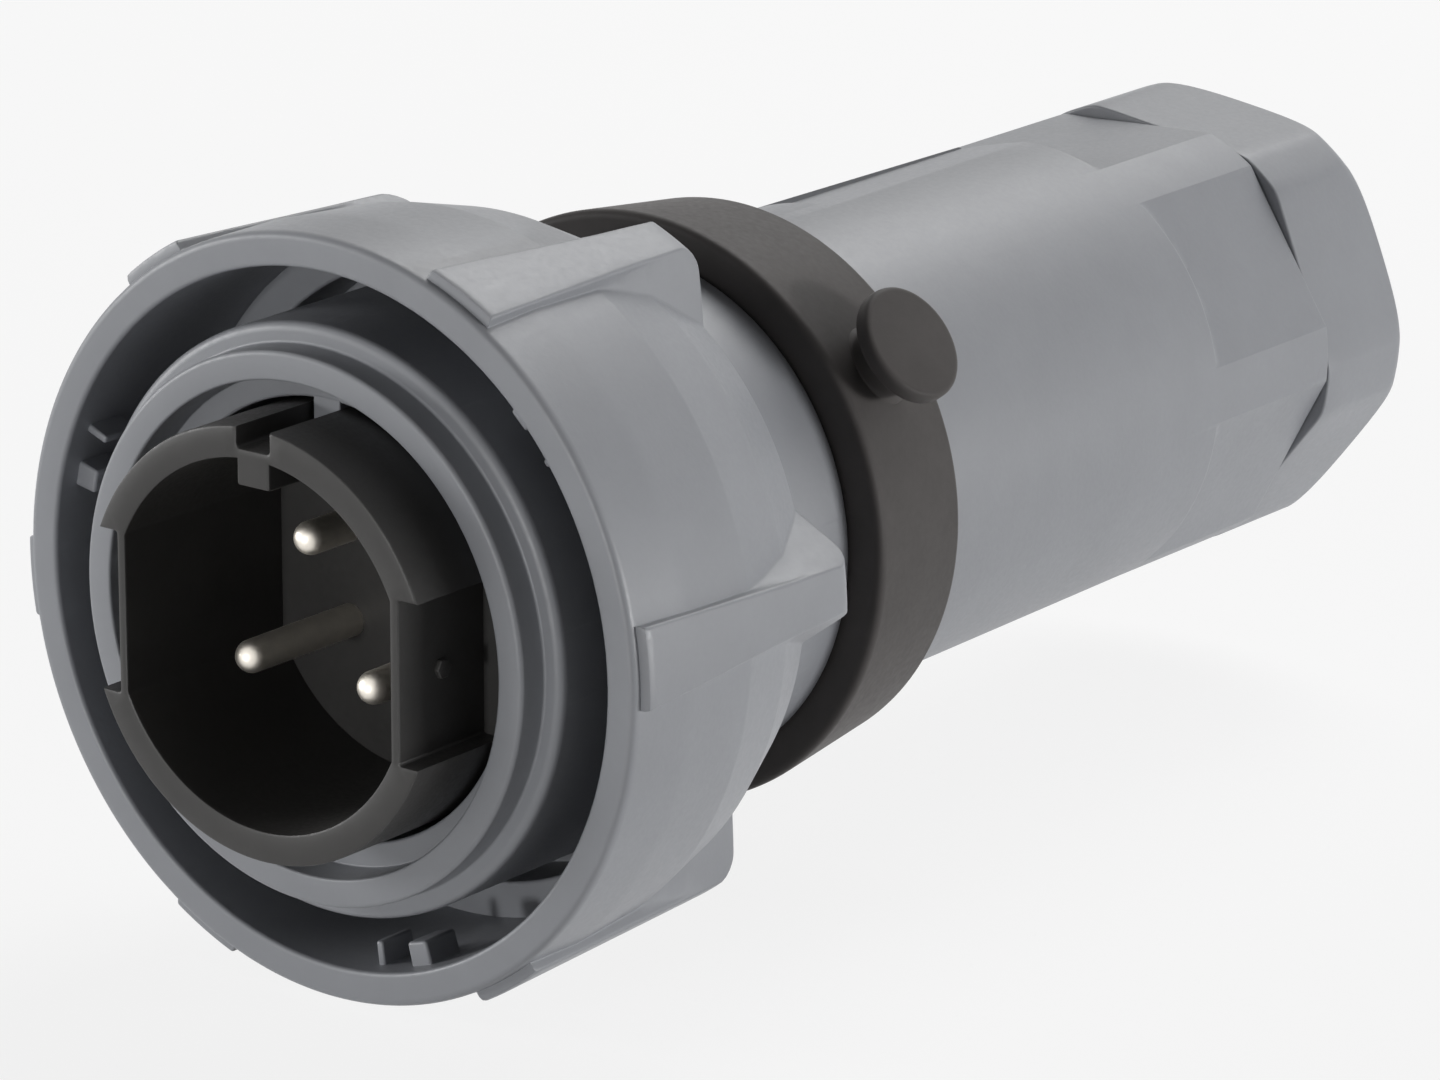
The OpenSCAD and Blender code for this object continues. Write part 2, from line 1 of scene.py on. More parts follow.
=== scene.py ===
"""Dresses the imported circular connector: rounded shells, ribbed ring, pins, finishes and a studio.

The connector's axis is Y, its mating end looks along -Y and its key lies at +Z. Outlines are written in
millimetres, as points of a radius, a station along the axis and a rounding, and meshes are in metres.
"""
import math
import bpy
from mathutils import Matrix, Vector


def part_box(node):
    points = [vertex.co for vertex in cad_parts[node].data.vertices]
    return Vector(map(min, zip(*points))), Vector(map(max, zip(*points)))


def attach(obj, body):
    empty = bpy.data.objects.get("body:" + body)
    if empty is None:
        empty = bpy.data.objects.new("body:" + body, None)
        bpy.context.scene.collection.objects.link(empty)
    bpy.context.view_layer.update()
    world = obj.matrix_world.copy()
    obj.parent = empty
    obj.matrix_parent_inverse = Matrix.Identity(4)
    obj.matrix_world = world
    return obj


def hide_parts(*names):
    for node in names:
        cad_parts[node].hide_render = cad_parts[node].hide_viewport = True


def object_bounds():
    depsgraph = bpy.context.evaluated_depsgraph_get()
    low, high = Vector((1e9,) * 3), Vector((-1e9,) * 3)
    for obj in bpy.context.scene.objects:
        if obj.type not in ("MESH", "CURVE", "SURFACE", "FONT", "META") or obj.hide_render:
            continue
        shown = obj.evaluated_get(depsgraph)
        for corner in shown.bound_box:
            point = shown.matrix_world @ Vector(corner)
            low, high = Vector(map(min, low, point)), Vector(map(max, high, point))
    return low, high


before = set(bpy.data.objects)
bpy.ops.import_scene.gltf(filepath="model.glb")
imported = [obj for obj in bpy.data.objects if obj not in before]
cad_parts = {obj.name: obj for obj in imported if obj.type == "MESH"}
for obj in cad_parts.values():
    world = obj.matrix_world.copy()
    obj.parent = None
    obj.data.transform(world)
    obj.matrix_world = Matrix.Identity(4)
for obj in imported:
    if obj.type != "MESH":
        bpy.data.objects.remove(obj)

import types

import bmesh
import bpy
import numpy as np
from bpy.props import FloatProperty, FloatVectorProperty, IntProperty, PointerProperty
from mathutils import Matrix, Vector

bl_info = {
    "name": "Circular connector",
    "version": (1, 0, 0),
    "blender": (4, 5, 0),
    "location": "3D View > Sidebar > Connector",
    "description": "Rounded shells, ribbed coupling ring, pins and moulded finishes of a cable connector",
    "category": "Object",
}

MM = 0.001
CAD_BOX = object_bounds()
WHITE = (1.0, 1.0, 1.0, 1.0)
# Points of a mesh that lie closer than this, in metres, are one point
WELD = 1e-7
# Degrees between the points along a large arc
ARC_STEP = 1.5
# Degrees that one side of a hexagon takes up
HEX_SIDE = 60
# A radius in millimetres that lies outside every piece
OUTSIDE = 99.0


# Colours and sizes that a user would change

def linear(code):
    """Linear colour of an sRGB hex value."""
    parts = [int(code[i:i + 2], 16) / 255 for i in (1, 3, 5)]
    return [c / 12.92 if c <= 0.04045 else ((c + 0.055) / 1.055) ** 2.4 for c in parts]


def length(name, description, millimetres):
    """A size property given in millimetres and kept in metres."""
    return FloatProperty(
        name=name, description=description, default=millimetres * MM, min=0.0,
        precision=5, unit="LENGTH", subtype="DISTANCE",
    )


def colour(name, description, code):
    """A colour property whose default is an sRGB hex value."""
    return FloatVectorProperty(
        name=name, description=description, default=linear(code), size=3,
        min=0.0, max=1.0, subtype="COLOR",
    )


def turn(name, description, degrees):
    """An angle property given in degrees."""
    return FloatProperty(
        name=name, description=description, default=math.radians(degrees),
        unit="ROTATION", subtype="ANGLE",
    )


class ConnectorColours(bpy.types.PropertyGroup):
    """Colours of the connector's materials."""

    grey: colour("Shell grey", "Moulded grey of the body, the coupling ring and the nut", "#929499")
    strap: colour("Strap black", "Soft black of the strap ring", "#53504f")
    carrier: colour("Carrier black", "Black of the contact carrier", "#3c3b3a")
    clip: colour("Clip black", "Dark plastic of the clip and the clamping cage", "#36373a")
    plating: colour("Pin plating", "Warm silver plating of the contacts", "#f0eadf")
    steel: colour("Spring steel", "Bare steel of the spring, the washers and the screws", "#b4b6b9")
    rubber: colour("Seal rubber", "Rubber of the cable seal and the O-ring", "#272728")
    floor: colour("Floor", "Pale studio floor", "#fbfbfb")


class ConnectorSizes(bpy.types.PropertyGroup):
    """Sizes of the connector's visible forms, along and round its axis."""

    edge: length("Edge rounding", "Rounding of the moulded edges", 0.15)
    lip_radius: length("Lip radius", "Outer radius of the nose's lip", 13.2)
    lip_bore: length("Lip bore", "Bore radius of the lip", 11.8)
    nose_radius: length("Nose radius", "Radius of the barrel that the mating shell slides over", 14.2)
    neck_radius: length("Neck radius", "Radius of the neck behind the nose", 12.3)
    collar_radius: length("Collar radius", "Radius of the neck in front of the strap ring", 12.95)
    grip_radius: length("Grip radius", "Radius of the grip behind the strap ring", 12.2)
    grip_end_radius: length("Grip end radius", "Radius of the grip at the hexagon", 11.95)
    hex_half_width: length("Hexagon half width", "Half the width across the body's flats", 11.0)
    hex_corner: turn("Hexagon corner", "Angle of one corner of the body's hexagon", 2.2)
    recess_angle: turn("Recess angle", "Angle of the flat recess on the grip", 104.0)
    recess_radius: length("Recess height", "Distance of the recess's floor from the axis", 11.7)
    recess_side: length("Recess side", "Distance from the recess's middle to its wall", 1.8)
    ring_radius: length("Rim radius", "Radius of the coupling ring's rim", 18.4)
    ring_bore: length("Ring bore", "Bore radius of the coupling ring", 16.75)
    rib_radius: length("Rib radius", "Crest radius of the finger ribs", 18.95)
    rib_rear_radius: length("Rib rear radius", "Crest radius of the finger ribs at their rear", 18.45)
    rib_front: length("Rib front half width", "Half the width of a rib's crest at the rim", 1.95)
    rib_rear: length("Rib rear half width", "Half the width of a rib's crest at its rear", 1.1)
    rib_lean: turn("Rib lean", "Lean of a rib's flanks at its rear", 35.0)
    rib_count: IntProperty(name="Ribs", description="Number of finger ribs", default=6, min=2)
    rib_angle: turn("Rib angle", "Angle of the first rib", 4.4)
    lug_count: IntProperty(name="Bayonet lugs", description="Number of bayonet lugs", default=3, min=1)
    lug_angle: turn("Lug angle", "Angle of the first bayonet lug", 46.5)
    lug_height: length("Lug height", "Height of the bayonet lugs above the bore", 1.15)
    strap_radius: length("Strap ring radius", "Outer radius of the strap ring at its front", 14.8)
    strap_rear_radius: length("Strap ring rear radius", "Outer radius of the strap ring's rear", 13.95)
    stud_angle: turn("Stud angle", "Angle of the strap's stud", 36.0)
    stud_head: length("Stud head radius", "Radius of the stud's head", 2.95)
    stud_stem: length("Stud stem radius", "Radius of the stud's stem", 1.75)
    shroud_radius: length("Shroud radius", "Outer radius of the contact carrier's shroud", 10.37)
    shroud_bore: length("Shroud bore", "Bore radius of the shroud", 8.85)
    well_flat: length("Well half width", "Half the width between the well's flats", 8.0)
    pin_count: IntProperty(name="Pins", description="Number of pin contacts", default=3, min=1)
    pin_radius: length("Pin radius", "Radius of a pin contact", 0.8)
    pin_circle: length("Pin circle", "Radius of the circle that the pins stand on", 4.3)
    nut_half_width: length("Nut half width", "Half the width across the nut's flats", 11.0)
    nut_corner_radius: length("Nut corner radius", "Radius of the nut's rounded corners", 12.0)
    nut_corner: turn("Nut corner", "Angle of one corner of the nut", -8.0)
    nut_round: length("Nut rounding", "Rounding of the nut's rear edge", 1.1)
    cable_radius: length("Cable opening", "Radius of the opening in the nut's rear wall", 4.6)


def sizes(context):
    """The sizes as plain numbers: lengths in millimetres, angles in degrees, counts as they are."""
    group = context.scene.connector_sizes
    plain = {}
    for name, prop in group.bl_rna.properties.items():
        if prop.type == "INT":
            plain[name] = getattr(group, name)
        elif prop.type == "FLOAT":
            value = getattr(group, name)
            plain[name] = math.degrees(value) if prop.subtype == "ANGLE" else value / MM
    return types.SimpleNamespace(**plain)


def ends(node):
    """Stations of a node's front and rear along the axis, in millimetres."""
    low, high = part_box(node)
    return round(low.y / MM, 4), round(high.y / MM, 4)


# Materials

def add_node(tree, kind, settings=None, inputs=None):
    """Adds a node with its settings, and sets or links its inputs."""
    node = tree.nodes.new(kind)
    for name, value in (settings or {}).items():
        setattr(node, name, value)
    for name, value in (inputs or {}).items():
        if isinstance(value, bpy.types.NodeSocket):
            tree.links.new(value, node.inputs[name])
        else:
            node.inputs[name].default_value = value
    return node


def shade(rgb, share):
    """A colour made lighter or darker by a share."""
    return [min(1.0, c * share) for c in rgb] + [1.0]


def finish(name, rgb, mottle, mottle_mm, grain_mm, depth_mm, roughness, shader):
    """A material with cloudy colour, uneven gloss and fine relief, all at real sizes in object space.

    mottle is the share by which the colour varies, in clouds of mottle_mm. The grain of grain_mm has
    a relief of depth_mm and moves the roughness between its two values. shader sets other sockets.
    """
    known = bpy.data.materials.get(name)
    if known:
        return known
    material = bpy.data.materials.new(name)
    material.use_nodes = True
    tree = material.node_tree
    tree.nodes.clear()
    place = add_node(tree, "ShaderNodeTexCoord").outputs["Object"]
    cloud = add_node(tree, "ShaderNodeTexNoise", inputs={
        "Vector": place, "Scale": 1 / (mottle_mm * MM), "Detail": 4.0, "Roughness": 0.6,
    })
    tint = add_node(tree, "ShaderNodeValToRGB", inputs={"Fac": cloud.outputs["Fac"]})
    # Noise keeps near the middle of its range, so the ramp runs over that part only
    for stop, position, share in zip(tint.color_ramp.elements, (0.32, 0.68), (1 - mottle, 1 + mottle)):
        stop.position = position
        stop.color = shade(rgb, share)
    grain = add_node(tree, "ShaderNodeTexNoise", inputs={
        "Vector": place, "Scale": 1 / (grain_mm * MM), "Detail": 2.0, "Roughness": 0.55,
    })
    gloss = add_node(tree, "ShaderNodeMapRange", inputs={
        "Value": grain.outputs["Fac"], "From Min": 0.3, "From Max": 0.7,
        "To Min": roughness[0], "To Max": roughness[1],
    })
    relief = add_node(tree, "ShaderNodeBump", inputs={
        "Height": grain.outputs["Fac"], "Distance": depth_mm * MM, "Strength": 1.0,
    })
    surface = add_node(tree, "ShaderNodeBsdfPrincipled", inputs={
        "Base Color": tint.outputs["Color"], "Roughness": gloss.outputs["Result"],
        "Normal": relief.outputs["Normal"], **shader,
    })
    add_node(tree, "ShaderNodeOutputMaterial", inputs={"Surface": surface.outputs["BSDF"]})
    return material


def grey_polyamide(context):
    # Glass-filled polyamide, moulded in a spark-eroded tool: satin, a little cloudy from the fibres.
    # The grain of 0.1 mm is drawn at 0.3 mm, so that it just shows.
    return finish(
        "Grey glass-filled polyamide", context.scene.connector_colours.grey,
        mottle=0.035, mottle_mm=5.0, grain_mm=0.3, depth_mm=0.006, roughness=(0.4, 0.5),
        shader={"IOR": 1.53, "Specular IOR Level": 0.6},
    )


def black_polyamide(context):
    # Black polyamide from a finer tool: nearly even, with a soft sheen on faces that meet the light.
    return finish(
        "Black polyamide", context.scene.connector_colours.carrier,
        mottle=0.08, mottle_mm=3.0, grain_mm=0.25, depth_mm=0.004, roughness=(0.38, 0.5),
        shader={"IOR": 1.53, "Specular IOR Level": 0.35},
    )


def strap_elastomer(context):
    # Soft thermoplastic elastomer: a dull, warm black with a dusty bloom and shallow flow marks.
    return finish(
        "Black moulded elastomer", context.scene.connector_colours.strap,
        mottle=0.06, mottle_mm=2.6, grain_mm=0.35, depth_mm=0.004, roughness=(0.46, 0.56),
        shader={"IOR": 1.5, "Specular IOR Level": 0.12},
    )


def clip_acetal(context):
    # Moulded acetal: slick, dark and even.
    return finish(
        "Dark acetal", context.scene.connector_colours.clip,
        mottle=0.05, mottle_mm=2.0, grain_mm=0.3, depth_mm=0.003, roughness=(0.32, 0.42),
        shader={"IOR": 1.48},
    )


def nitrile_rubber(context):
    # Pressed nitrile rubber: matt black with a faint grey bloom.
    return finish(
        "Nitrile rubber", context.scene.connector_colours.rubber,
        mottle=0.12, mottle_mm=1.6, grain_mm=0.25, depth_mm=0.006, roughness=(0.6, 0.8),
        shader={"IOR": 1.52},
    )


def silver_plate(context):
    # Turned brass with a silver plate: bright and satin, with a trace of warm tarnish and fine tool marks.
    return finish(
        "Silver plated brass", context.scene.connector_colours.plating,
        mottle=0.05, mottle_mm=0.9, grain_mm=0.12, depth_mm=0.0012, roughness=(0.38, 0.48),
        shader={"Metallic": 1.0},
    )


def spring_steel(context):
    # Cold-rolled stainless steel: bright, even and finely grained.
    return finish(
        "Rolled stainless steel", context.scene.connector_colours.steel,
        mottle=0.05, mottle_mm=1.5, grain_mm=0.15, depth_mm=0.002, roughness=(0.24, 0.36),
        shader={"Metallic": 1.0},
    )


def seen_directly(tree):
    """A socket that is 1 where the camera, a reflection or glass looks at the surface."""
    path = add_node(tree, "ShaderNodeLightPath").outputs
    share = path["Is Camera Ray"]
    for name in ("Is Glossy Ray", "Is Transmission Ray"):
        larger = add_node(tree, "ShaderNodeMath", {"operation": "MAXIMUM"}, {0: share, 1: path[name]})
        share = larger.outputs["Value"]
    return share


def studio_floor(context):
    # Matt paper roll: white, with a trace of fibre. Where it is seen it is lifted most of the way to
    # white, and the rest keeps the shadow.
    paper = finish(
        "Studio paper", context.scene.connector_colours.floor,
        mottle=0.004, mottle_mm=30.0, grain_mm=0.8, depth_mm=0.002, roughness=(0.8, 0.9),
        shader={"IOR": 1.45},
    )
    lifted = 0.85
    tree = paper.node_tree
    glow = add_node(tree, "ShaderNodeEmission", inputs={"Color": WHITE, "Strength": 1.0})
    lift = add_node(tree, "ShaderNodeMath", {"operation": "MULTIPLY"}, {0: seen_directly(tree), 1: lifted})
    both = add_node(tree, "ShaderNodeMixShader", inputs={
        0: lift.outputs["Value"],
        1: tree.nodes["Principled BSDF"].outputs["BSDF"],
        2: glow.outputs["Emission"],
    })
    tree.links.new(both.outputs["Shader"], tree.nodes["Material Output"].inputs["Surface"])
    return paper


# Mesh building

def polar(radius, degrees):
    """The point at a radius and an angle."""
    a = math.radians(degrees)
    return radius * math.cos(a), radius * math.sin(a)


def rounded(corners, steps=4):
    """Points of a closed outline given as (a, b, rounding), with each corner rounded."""
    most = 0.48  # share of a side that the rounding of one of its corners may take
    points = []
    for i, (a, b, rounding) in enumerate(corners):
        here = Vector((a, b))
        back = Vector(corners[i - 1][:2]) - here
        ahead = Vector(corners[(i + 1) % len(corners)][:2]) - here
        if rounding <= 0:
            points.append((a, b))
            continue
        reach = rounding / math.tan(back.angle(ahead) / 2)
        reach = min(reach, most * back.length, most * ahead.length)
        start = here + back.normalized() * reach
        end = here + ahead.normalized() * reach
        for k in range(steps + 1):
            t = k / steps
            points.append(tuple((1 - t) ** 2 * start + 2 * t * (1 - t) * here + t * t * end))
    return points


def all_round(step=ARC_STEP, close=()):
    """Angles right round in degrees, a step apart, with more of them near the given ones."""
    extra = [a + d for a in close for d in (-0.5, -0.15, 0.0, 0.15, 0.5)]
    return np.unique(np.round(np.concatenate([np.arange(0, 360, step), np.mod(extra, 360)]), 4))


def lathe(outline, angles, form=None):
    """Rows of a turned piece: each point (radius, station) of the outline goes round the axis."""
    rows = []
    a = np.radians(angles)
    for r, y in outline:
        radius = np.full(len(a), r) if form is None else form(r, y, angles)
        rows.append(np.stack([radius * np.cos(a), np.full(len(a), y), radius * np.sin(a)], axis=1))
    return rows


def skin(mesh, rows, wrap_rows=True, wrap_columns=True):
    """Adds the faces between rows of points to a bmesh."""
    grid = [[mesh.verts.new(Vector(p) * MM) for p in row] for row in rows]
    across = len(grid[0])
    for i in range(len(grid) if wrap_rows else len(grid) - 1):
        near, far = grid[i], grid[(i + 1) % len(grid)]
        for j in range(across if wrap_columns else across - 1):
            k = (j + 1) % across
            mesh.faces.new((near[j], near[k], far[k], far[j]))


def fill_level(mesh, station):
    """Closes the open loops that lie at a station along the axis."""
    rim = [
        e for e in mesh.edges
        if e.is_boundary and all(abs(v.co.y - station * MM) < WELD for v in e.verts)
    ]
    bmesh.ops.triangle_fill(mesh, edges=rim, use_beauty=True, use_dissolve=False)


def join(mesh, other):
    """Adds a second bmesh to the first, and frees the second."""
    spare = bpy.data.meshes.new("spare")
    other.to_mesh(spare)
    other.free()
    mesh.from_mesh(spare)
    bpy.data.meshes.remove(spare)


def block(mesh, corners, rounding):
    """Adds a closed block from two rings of corners, with its sharp edges rounded."""
    sharp_angle = math.radians(25)
    made = bmesh.new()
    low, high = ([made.verts.new(Vector(p) * MM) for p in ring] for ring in corners)
    made.faces.new(low)
    made.faces.new(high)
    for i in range(len(low)):
        k = (i + 1) % len(low)
        made.faces.new((low[i], low[k], high[k], high[i]))
    bmesh.ops.recalc_face_normals(made, faces=made.faces)
    sharp = [e for e in made.edges if e.calc_face_angle(0) > sharp_angle]
    bmesh.ops.bevel(
        made, geom=sharp, offset=rounding * MM, offset_type="OFFSET", segments=3, profile=0.5,
        affect="EDGES", clamp_overlap=True,
    )
    join(mesh, made)


def sector_corners(r0, r1, y0, y1, a0, a1, steps=4):
    """The two rings of corners of a block between two radii, stations and angles."""
    angles = np.linspace(a0, a1, steps + 1)
    section = [polar(r1, a) for a in angles] + [polar(r0, a) for a in angles[::-1]]
    return [[(x, y, z) for x, z in section] for y in (y0, y1)]


def as_object(name, mesh):
    """Makes an object of a bmesh, and frees the bmesh."""
    data = bpy.data.meshes.new(name)
    mesh.to_mesh(data)
    mesh.free()
    piece = bpy.data.objects.new(name, data)
    bpy.context.scene.collection.objects.link(piece)
    return piece


def closed_mesh(name, mesh):
    """Merges a bmesh's doubles, turns its faces outwards, and makes an object of it."""
    bmesh.ops.remove_doubles(mesh, verts=mesh.verts, dist=WELD)
    bmesh.ops.dissolve_degenerate(mesh, edges=mesh.edges, dist=WELD / 10)
    bmesh.ops.recalc_face_normals(mesh, faces=mesh.faces)
    return as_object(name, mesh)


def settle(piece):
    """Turns a piece with its modifiers into a plain mesh."""
    graph = bpy.context.evaluated_depsgraph_get()
    plain = bpy.data.meshes.new_from_object(piece.evaluated_get(graph), depsgraph=graph)
    spare = piece.data
    piece.modifiers.clear()
    piece.data = plain
    bpy.data.meshes.remove(spare)
    plain.name = piece.name


def complete(piece, material, body, slot, *nodes):
    """Smooth shading, material and body, and hides the CAD nodes that the piece stands for. The slot is not
    used.
    """
    sharp_angle = math.radians(40)
    piece.data.polygons.foreach_set("use_smooth", [True] * len(piece.data.polygons))
    piece.data.set_sharp_from_angle(angle=sharp_angle)
    weighted = piece.modifiers.new("Even shading", "WEIGHTED_NORMAL")
    weighted.keep_sharp = True
    settle(piece)
    piece.data.materials.clear()
    piece.data.materials.append(material)
    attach(piece, body)
    if nodes:
        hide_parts(*nodes)


def pattern_tree():
    """Geometry Nodes tree that sets copies of a shape round the connector's axis."""
    known = bpy.data.node_groups.get("Round pattern")
    if known:
        return known
    tree = bpy.data.node_groups.new("Round pattern", "GeometryNodeTree")
    for name, kind in (
        ("Shape", "NodeSocketGeometry"), ("Count", "NodeSocketInt"), ("Start angle", "NodeSocketFloat"),
        ("Weld distance", "NodeSocketFloat"), ("Material", "NodeSocketMaterial"),
    ):
        tree.interface.new_socket(name=name, in_out="INPUT", socket_type=kind)
    tree.interface.new_socket(name="Mesh", in_out="OUTPUT", socket_type="NodeSocketGeometry")
    given = add_node(tree, "NodeGroupInput").outputs
    points = add_node(tree, "GeometryNodePoints", inputs={"Count": given["Count"]})
    step = add_node(tree, "ShaderNodeMath", {"operation": "DIVIDE"}, {
        0: -2 * math.pi, 1: given["Count"],
    })
    place = add_node(tree, "GeometryNodeInputIndex")
    angle = add_node(tree, "ShaderNodeMath", {"operation": "MULTIPLY"}, {
        0: place.outputs["Index"], 1: step.outputs["Value"],
    })
    whole = add_node(tree, "ShaderNodeMath", {"operation": "SUBTRACT"}, {
        0: angle.outputs["Value"], 1: given["Start angle"],
    })
    about = add_node(tree, "ShaderNodeCombineXYZ", inputs={"Y": whole.outputs["Value"]})
    turned = add_node(tree, "FunctionNodeEulerToRotation", inputs={"Euler": about.outputs["Vector"]})
    copies = add_node(tree, "GeometryNodeInstanceOnPoints", inputs={
        "Points": points.outputs["Points"], "Instance": given["Shape"],
        "Rotation": turned.outputs["Rotation"],
    })
    real = add_node(tree, "GeometryNodeRealizeInstances", inputs={
        "Geometry": copies.outputs["Instances"],
    })
    welded = add_node(tree, "GeometryNodeMergeByDistance", inputs={
        "Geometry": real.outputs["Geometry"], "Distance": given["Weld distance"],
    })
    painted = add_node(tree, "GeometryNodeSetMaterial", inputs={
        "Geometry": welded.outputs["Geometry"], "Material": given["Material"],
    })
    add_node(tree, "NodeGroupOutput", inputs={"Mesh": painted.outputs["Geometry"]})
    return tree


def repeat_round(piece, count, start, material):
    """Runs the round pattern on a piece and keeps the result as its plain mesh."""
    seam = 20 * WELD  # copies that are turned meet less exactly than the points of one mesh
    tree = pattern_tree()
    keys = {item.name: item.identifier for item in tree.interface.items_tree if item.in_out == "INPUT"}
    modifier = piece.modifiers.new("Round pattern", "NODES")
    modifier.node_group = tree
    modifier[keys["Count"]] = count
    modifier[keys["Start angle"]] = math.radians(start)
    modifier[keys["Weld distance"]] = seam
    modifier[keys["Material"]] = material
    settle(piece)


def apart(angles, middle):
    """How far each angle lies from the middle of a flat, in radians."""
    return np.radians((np.asarray(angles) - middle + 180) % 360 - 180)


def across_flats(radius, angles, half_width, corner, fall=0.0):
    """Radius limited by six flats, which lie lower by fall."""
    to_flat = np.radians((np.asarray(angles) - corner) % HEX_SIDE - HEX_SIDE / 2)
    return np.minimum(radius, (half_width - fall) / np.cos(to_flat))


def flat_edges(radius, half_width, corner):
    """Angles at which six flats meet a round form."""
    reach = math.degrees(math.acos(half_width / radius))
    middles = [corner + HEX_SIDE / 2 + HEX_SIDE * k for k in range(6)]
    return [middle + side * reach for middle in middles for side in (-1, 1)]


# Operators, one for each piece or group of like pieces

class ConnectorBodyShell(bpy.types.Operator):
    """Makes the grey body: lip, nose barrel, neck, grip with its recess, hexagon and threaded spigot"""

    bl_idname = "connector.body_shell"
    bl_label = "Body shell"

    def execute(self, context):
        s = sizes(context)
        edge = s.edge
        # Stations along the outside
        lip_y, spigot_end = ends("body_shell")
        nose_y, nose_end = 0.0, 11.5
        clip_y, clip_end = 14.85, 16.0
        collar_y, collar_end = 16.9, 23.15
        grip_y, hex_y, body_end = 30.95, 56.05, 66.35
        recess_y, recess_end = 38.55, 57.55
        # Radii of the grooves for the clip and the strap ring, and of the spigot
        clip_floor, strap_floor, spigot = s.neck_radius - 0.6, s.neck_radius - 0.5, 9.8
        # Radii and stations inside: carrier seat, seal bore, web, wire chamber, cable port and gland pocket
        seat, seal, web, chamber, port, pocket = 10.6, 8.75, 7.95, 9.4, 6.5, 8.3
        lip_floor, seat_y, web_y, web_end, chamber_end = 0.5, 7.7, 12.0, 15.0, 54.05

        # The recess starts and ends in a small rounding and the flats run out softly: rows close together
        deep = 9.0  # more than any recess
        near, drops = [-0.8 * edge, -0.25 * edge, 0.0, 0.01], [0.0, 0.25 * edge, 0.8 * edge, deep]
        run, runs = [-0.1, 0.0, 0.25, 0.5, 0.75, 1.0], [0.0, 0.02, 0.2, 0.45, 0.72, 1.0]
        stations = [34.0, 42.0, 46.0, 50.0, 53.0, 61.0, 64.0]
        stations += [recess_y + d for d in near] + [recess_end - d for d in near]
        stations = sorted(stations + [hex_y + d for d in run])

        def taper(y):
            return float(np.interp(y, [grip_y, hex_y], [s.grip_radius, s.grip_end_radius]))

        outline = [
            (s.lip_bore, lip_y, edge), (s.lip_radius, lip_y, 0.25), (s.lip_radius, nose_y, edge),
            (s.nose_radius, nose_y, 0.5), (s.nose_radius, nose_end, 0.3), (s.neck_radius, nose_end, 0.1),
            (s.neck_radius, clip_y, 0.05), (clip_floor, clip_y, 0.05),
            (clip_floor, clip_end, 0.05), (s.neck_radius, clip_end, 0.05),
            (s.neck_radius, collar_y, 0.1), (s.collar_radius, collar_y, 0.3),
            (s.collar_radius, collar_end, 0.12), (strap_floor, collar_end, 0.05),
            (strap_floor, grip_y, 0.05), (s.grip_radius, grip_y, edge),
        ]
        outline += [(taper(y), y, 0.0) for y in stations]
        outline += [
            (s.grip_end_radius, body_end, edge), (spigot, body_end, 0.1), (spigot, spigot_end, 0.2),
            (pocket, spigot_end, 0.1), (pocket, hex_y, 0.0), (port, hex_y, 0.1),
            (port, chamber_end, 0.1), (chamber, chamber_end, 0.1), (chamber, web_end, 0.0),
            (web, web_end, 0.1), (web, web_y, 0.1), (seal, web_y, 0.0), (seal, seat_y, 0.1),
            (seat, seat_y, 0.0), (seat, lip_floor, edge), (s.lip_bore, lip_floor, 0.1),
        ]

        # Only the outside of the grip and the hexagon has flats and the recess
        outside_radius, outside_y, hex_middle = 10.2, 31.5, 62.0
        wall = math.atan(s.recess_side / s.recess_radius)
        open_side = 0.6  # radians to the side without a wall, past where the floor meets the grip

        def form(r, y, angles):
            """Radius round the body, lowered by the flats and by the recess."""
            radius = np.full(len(angles), r)
            if r < outside_radius or y < outside_y:
                return radius
            limit = np.interp(y, [hex_y + d for d in run], runs)
            fall = max(0.0, s.grip_end_radius - r) if y > hex_middle else 0.0
            flats = across_flats(radius, angles, s.hex_half_width, s.hex_corner, fall)
            radius = radius - np.minimum(radius - flats, limit)
            limit = min(
                np.interp(y, [recess_y + d for d in near], drops),
                np.interp(-y, [-recess_end + d for d in near], drops),
            )
            off = apart(angles, s.recess_angle)
            inside = (off > -open_side) & (off < wall)
            level = s.recess_radius / np.cos(np.clip(off, -open_side, open_side))
            floor = np.where(inside, level, OUTSIDE)
            return radius - np.clip(radius - floor, 0.0, limit)

        corners = flat_edges(s.grip_end_radius, s.hex_half_width, s.hex_corner)
        for y in (recess_y, 45.0, 51.0, hex_y):
            corners.append(s.recess_angle - math.degrees(math.acos(s.recess_radius / taper(y))))
        corners += [s.recess_angle + math.degrees(wall) + d for d in (-0.03, 0.03)]
        mesh = bmesh.new()
        skin(mesh, lathe(rounded(outline), all_round(close=corners), form))
        self.add_key(mesh)
        self.add_stop_lug(mesh, s)
        piece = closed_mesh("body_shell_dressed", mesh)
        complete(piece, grey_polyamide(context), "body", "grey_shell", "body_shell")
        return {"FINISHED"}

    def add_key(self, mesh):
        """The key at the top of the carrier's seat, which fits the carrier's slot."""
        half, low, high = 0.8, 9.35, 10.75
        front, rear = 0.52, 7.8
        section = [(-half, low), (half, low), (half, high), (-half, high)]
        block(mesh, [[(x, y, z) for x, z in section] for y in (front, rear)], 0.08)

    def add_stop_lug(self, mesh, s):
        """The lug under the neck that ends the coupling ring's twist."""
        sunk, top = 0.1, 12.85
        front, rear = 13.2, 14.7
        middle, half = 270, 4
        corners = sector_corners(s.neck_radius - sunk, top, front, rear, middle - half, middle + half)
        block(mesh, corners, 0.1)


